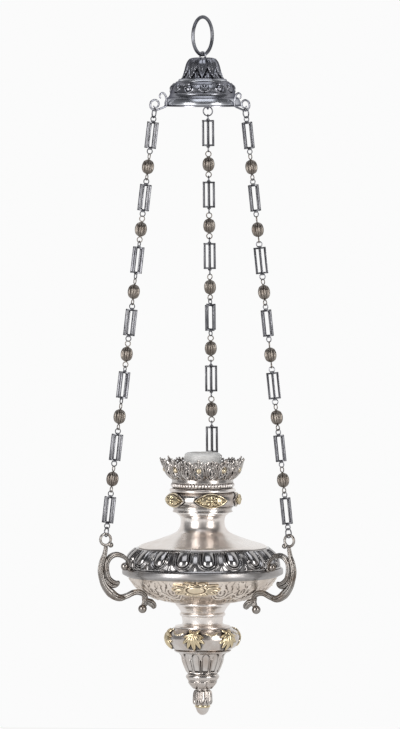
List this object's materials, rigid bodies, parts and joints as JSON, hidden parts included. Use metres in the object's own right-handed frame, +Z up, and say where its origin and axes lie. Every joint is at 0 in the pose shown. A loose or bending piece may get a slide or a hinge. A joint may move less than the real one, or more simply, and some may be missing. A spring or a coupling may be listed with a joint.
{
  "type": "hanging vigil lamp",
  "caption": "Hanging vigil lamp: a turned silvered body with scroll arms and a pierced crown that holds a frosted glass, on chains of open box links and ribbed beads from a domed canopy.",
  "frame": {"origin": "inside top of the suspension ring, where it bears on the hook that holds it", "axes": "+Z up along the lamp's middle line, one chain and arm at the back in +Y, two in front"},
  "size_m": [0.256, 0.2525, 0.9103],
  "materials": {
    "old_silver": "silver plated, worn and oxidised in the recesses",
    "dark_silver": "silver plated, dark with oxidation",
    "parcel_gilt": "silver plated with gilt relief, worn",
    "plain_brass": "plain brass, dull",
    "opal_glass": "frosted opal glass",
    "candle_wax": "cream wax",
    "wick_cotton": "twisted cotton"
  },
  "bodies": {
    "hanging_ring": {"suspension_ring": "dark_silver"},
    "canopy": {"canopy_eye_bolt": "dark_silver", "canopy_nut": "plain_brass", "canopy_dome": "dark_silver", "canopy_skirt": "dark_silver", "chain_hook_1": "dark_silver", "chain_hook_2": "dark_silver", "chain_hook_3": "dark_silver"},
    "lamp_body": {"crown_gallery": "old_silver", "beaded_collar": "old_silver", "upper_knop": "parcel_gilt", "neck": "old_silver", "gadrooned_shoulder": "old_silver", "rim_band": "old_silver", "bowl": "old_silver", "lower_stem": "old_silver", "lower_knop": "parcel_gilt", "fluted_calyx": "old_silver", "acanthus_cone": "old_silver", "finial_cup": "old_silver", "finial_tip": "parcel_gilt", "tie_rod": "plain_brass", "tie_rod_nut": "plain_brass", "glass_tray": "plain_brass", "arm_1": "old_silver", "arm_2": "old_silver", "arm_3": "old_silver", "bowl_cartouche_1": "parcel_gilt", "bowl_cartouche_2": "parcel_gilt", "bowl_cartouche_3": "parcel_gilt"},
    "glass": {"vigil_glass": "opal_glass"},
    "candle_stub": {"candle": "candle_wax", "wick": "wick_cotton"},
    "chain_1": {"chain_1_top_ring": "dark_silver", "chain_1_bottom_ring": "dark_silver"},
    "chain_1_link_1": {"chain_1_link_1": "dark_silver"},
    "chain_1_link_2": {"chain_1_link_2": "dark_silver"},
    "chain_1_link_3": {"chain_1_link_3": "dark_silver"},
    "chain_1_link_4": {"chain_1_link_4": "dark_silver"},
    "chain_1_link_5": {"chain_1_link_5": "dark_silver"},
    "chain_1_link_6": {"chain_1_link_6": "dark_silver"},
    "chain_1_link_7": {"chain_1_link_7": "dark_silver"},
    "chain_2": {"chain_2_top_ring": "dark_silver", "chain_2_bottom_ring": "dark_silver"},
    "chain_2_link_1": {"chain_2_link_1": "dark_silver"},
    "chain_2_link_2": {"chain_2_link_2": "dark_silver"},
    "chain_2_link_3": {"chain_2_link_3": "dark_silver"},
    "chain_2_link_4": {"chain_2_link_4": "dark_silver"},
    "chain_2_link_5": {"chain_2_link_5": "dark_silver"},
    "chain_2_link_6": {"chain_2_link_6": "dark_silver"},
    "chain_2_link_7": {"chain_2_link_7": "dark_silver"},
    "chain_3": {"chain_3_top_ring": "dark_silver", "chain_3_bottom_ring": "dark_silver"},
    "chain_3_link_1": {"chain_3_link_1": "dark_silver"},
    "chain_3_link_2": {"chain_3_link_2": "dark_silver"},
    "chain_3_link_3": {"chain_3_link_3": "dark_silver"},
    "chain_3_link_4": {"chain_3_link_4": "dark_silver"},
    "chain_3_link_5": {"chain_3_link_5": "dark_silver"},
    "chain_3_link_6": {"chain_3_link_6": "dark_silver"},
    "chain_3_link_7": {"chain_3_link_7": "dark_silver"}
  },
  "joints": [
    {"name": "canopy_swing", "type": "hinge", "parent": "hanging_ring", "child": "canopy", "pos_m": [0, 0, -0.04675], "axis": [0.4226, 0.9063, 0], "range_deg": [-40, 40]},
    {"name": "body_sway", "type": "hinge", "parent": "canopy", "child": "lamp_body", "pos_m": [0, 0, 0.43002], "axis": [0, 1, 0], "range_deg": [-2, 2]},
    {"name": "glass_lift", "type": "slide", "parent": "lamp_body", "child": "glass", "axis": [0, 0, 1], "range_m": [0, 0.075]},
    {"name": "candle_lift", "type": "slide", "parent": "glass", "child": "candle_stub", "axis": [0, 0, 1], "range_m": [0, 0.075]},
    {"name": "chain_1_swing", "type": "hinge", "parent": "canopy", "child": "chain_1", "pos_m": [0, 0.0685, -0.11785], "axis": [0, 1, 0], "range_deg": [-4.1, 4.1]},
    {"name": "chain_1_link_1_turn", "type": "hinge", "parent": "chain_1", "child": "chain_1_link_1", "pos_m": [0, 0.0685, -0.11785], "axis": [0, 0.1241, -0.9923], "range_deg": [-16, 16]},
    {"name": "chain_1_link_2_turn", "type": "hinge", "parent": "chain_1", "child": "chain_1_link_2", "pos_m": [0, 0.0685, -0.11785], "axis": [0, 0.1241, -0.9923], "range_deg": [-31, 31]},
    {"name": "chain_1_link_3_turn", "type": "hinge", "parent": "chain_1", "child": "chain_1_link_3", "pos_m": [0, 0.0685, -0.11785], "axis": [0, 0.1241, -0.9923], "range_deg": [-46, 46]},
    {"name": "chain_1_link_4_turn", "type": "hinge", "parent": "chain_1", "child": "chain_1_link_4", "pos_m": [0, 0.0685, -0.11785], "axis": [0, 0.1241, -0.9923], "range_deg": [-61, 61]},
    {"name": "chain_1_link_5_turn", "type": "hinge", "parent": "chain_1", "child": "chain_1_link_5", "pos_m": [0, 0.0685, -0.11785], "axis": [0, 0.1241, -0.9923], "range_deg": [-46, 46]},
    {"name": "chain_1_link_6_turn", "type": "hinge", "parent": "chain_1", "child": "chain_1_link_6", "pos_m": [0, 0.0685, -0.11785], "axis": [0, 0.1241, -0.9923], "range_deg": [-31, 31]},
    {"name": "chain_1_link_7_turn", "type": "hinge", "parent": "chain_1", "child": "chain_1_link_7", "pos_m": [0, 0.0685, -0.11785], "axis": [0, 0.1241, -0.9923], "range_deg": [-16, 16]},
    {"name": "chain_2_swing", "type": "hinge", "parent": "canopy", "child": "chain_2", "pos_m": [-0.05932, -0.03425, -0.11785], "axis": [0, 1, 0], "range_deg": [-4.1, 4.1]},
    {"name": "chain_2_link_1_turn", "type": "hinge", "parent": "chain_2", "child": "chain_2_link_1", "pos_m": [-0.05932, -0.03425, -0.11785], "axis": [-0.1074, -0.062, -0.9923], "range_deg": [-16, 16]},
    {"name": "chain_2_link_2_turn", "type": "hinge", "parent": "chain_2", "child": "chain_2_link_2", "pos_m": [-0.05932, -0.03425, -0.11785], "axis": [-0.1074, -0.062, -0.9923], "range_deg": [-31, 31]},
    {"name": "chain_2_link_3_turn", "type": "hinge", "parent": "chain_2", "child": "chain_2_link_3", "pos_m": [-0.05932, -0.03425, -0.11785], "axis": [-0.1074, -0.062, -0.9923], "range_deg": [-46, 46]},
    {"name": "chain_2_link_4_turn", "type": "hinge", "parent": "chain_2", "child": "chain_2_link_4", "pos_m": [-0.05932, -0.03425, -0.11785], "axis": [-0.1074, -0.062, -0.9923], "range_deg": [-61, 61]},
    {"name": "chain_2_link_5_turn", "type": "hinge", "parent": "chain_2", "child": "chain_2_link_5", "pos_m": [-0.05932, -0.03425, -0.11785], "axis": [-0.1074, -0.062, -0.9923], "range_deg": [-46, 46]},
    {"name": "chain_2_link_6_turn", "type": "hinge", "parent": "chain_2", "child": "chain_2_link_6", "pos_m": [-0.05932, -0.03425, -0.11785], "axis": [-0.1074, -0.062, -0.9923], "range_deg": [-31, 31]},
    {"name": "chain_2_link_7_turn", "type": "hinge", "parent": "chain_2", "child": "chain_2_link_7", "pos_m": [-0.05932, -0.03425, -0.11785], "axis": [-0.1074, -0.062, -0.9923], "range_deg": [-16, 16]},
    {"name": "chain_3_swing", "type": "hinge", "parent": "canopy", "child": "chain_3", "pos_m": [0.05932, -0.03425, -0.11785], "axis": [0, 1, 0], "range_deg": [-4.1, 4.1]},
    {"name": "chain_3_link_1_turn", "type": "hinge", "parent": "chain_3", "child": "chain_3_link_1", "pos_m": [0.05932, -0.03425, -0.11785], "axis": [0.1074, -0.062, -0.9923], "range_deg": [-16, 16]},
    {"name": "chain_3_link_2_turn", "type": "hinge", "parent": "chain_3", "child": "chain_3_link_2", "pos_m": [0.05932, -0.03425, -0.11785], "axis": [0.1074, -0.062, -0.9923], "range_deg": [-31, 31]},
    {"name": "chain_3_link_3_turn", "type": "hinge", "parent": "chain_3", "child": "chain_3_link_3", "pos_m": [0.05932, -0.03425, -0.11785], "axis": [0.1074, -0.062, -0.9923], "range_deg": [-46, 46]},
    {"name": "chain_3_link_4_turn", "type": "hinge", "parent": "chain_3", "child": "chain_3_link_4", "pos_m": [0.05932, -0.03425, -0.11785], "axis": [0.1074, -0.062, -0.9923], "range_deg": [-61, 61]},
    {"name": "chain_3_link_5_turn", "type": "hinge", "parent": "chain_3", "child": "chain_3_link_5", "pos_m": [0.05932, -0.03425, -0.11785], "axis": [0.1074, -0.062, -0.9923], "range_deg": [-46, 46]},
    {"name": "chain_3_link_6_turn", "type": "hinge", "parent": "chain_3", "child": "chain_3_link_6", "pos_m": [0.05932, -0.03425, -0.11785], "axis": [0.1074, -0.062, -0.9923], "range_deg": [-31, 31]},
    {"name": "chain_3_link_7_turn", "type": "hinge", "parent": "chain_3", "child": "chain_3_link_7", "pos_m": [0.05932, -0.03425, -0.11785], "axis": [0.1074, -0.062, -0.9923], "range_deg": [-16, 16]}
  ],
  "couplings": [
    {"joint": "chain_1_swing", "follows": "body_sway", "ratio": 2},
    {"joint": "chain_1_link_1_turn", "follows": "chain_1_link_4_turn", "ratio": 0.25},
    {"joint": "chain_1_link_2_turn", "follows": "chain_1_link_4_turn", "ratio": 0.5},
    {"joint": "chain_1_link_3_turn", "follows": "chain_1_link_4_turn", "ratio": 0.75},
    {"joint": "chain_1_link_5_turn", "follows": "chain_1_link_4_turn", "ratio": 0.75},
    {"joint": "chain_1_link_6_turn", "follows": "chain_1_link_4_turn", "ratio": 0.5},
    {"joint": "chain_1_link_7_turn", "follows": "chain_1_link_4_turn", "ratio": 0.25},
    {"joint": "chain_2_swing", "follows": "body_sway", "ratio": 2},
    {"joint": "chain_2_link_1_turn", "follows": "chain_2_link_4_turn", "ratio": 0.25},
    {"joint": "chain_2_link_2_turn", "follows": "chain_2_link_4_turn", "ratio": 0.5},
    {"joint": "chain_2_link_3_turn", "follows": "chain_2_link_4_turn", "ratio": 0.75},
    {"joint": "chain_2_link_5_turn", "follows": "chain_2_link_4_turn", "ratio": 0.75},
    {"joint": "chain_2_link_6_turn", "follows": "chain_2_link_4_turn", "ratio": 0.5},
    {"joint": "chain_2_link_7_turn", "follows": "chain_2_link_4_turn", "ratio": 0.25},
    {"joint": "chain_3_swing", "follows": "body_sway", "ratio": 2},
    {"joint": "chain_3_link_1_turn", "follows": "chain_3_link_4_turn", "ratio": 0.25},
    {"joint": "chain_3_link_2_turn", "follows": "chain_3_link_4_turn", "ratio": 0.5},
    {"joint": "chain_3_link_3_turn", "follows": "chain_3_link_4_turn", "ratio": 0.75},
    {"joint": "chain_3_link_5_turn", "follows": "chain_3_link_4_turn", "ratio": 0.75},
    {"joint": "chain_3_link_6_turn", "follows": "chain_3_link_4_turn", "ratio": 0.5},
    {"joint": "chain_3_link_7_turn", "follows": "chain_3_link_4_turn", "ratio": 0.25}
  ]
}
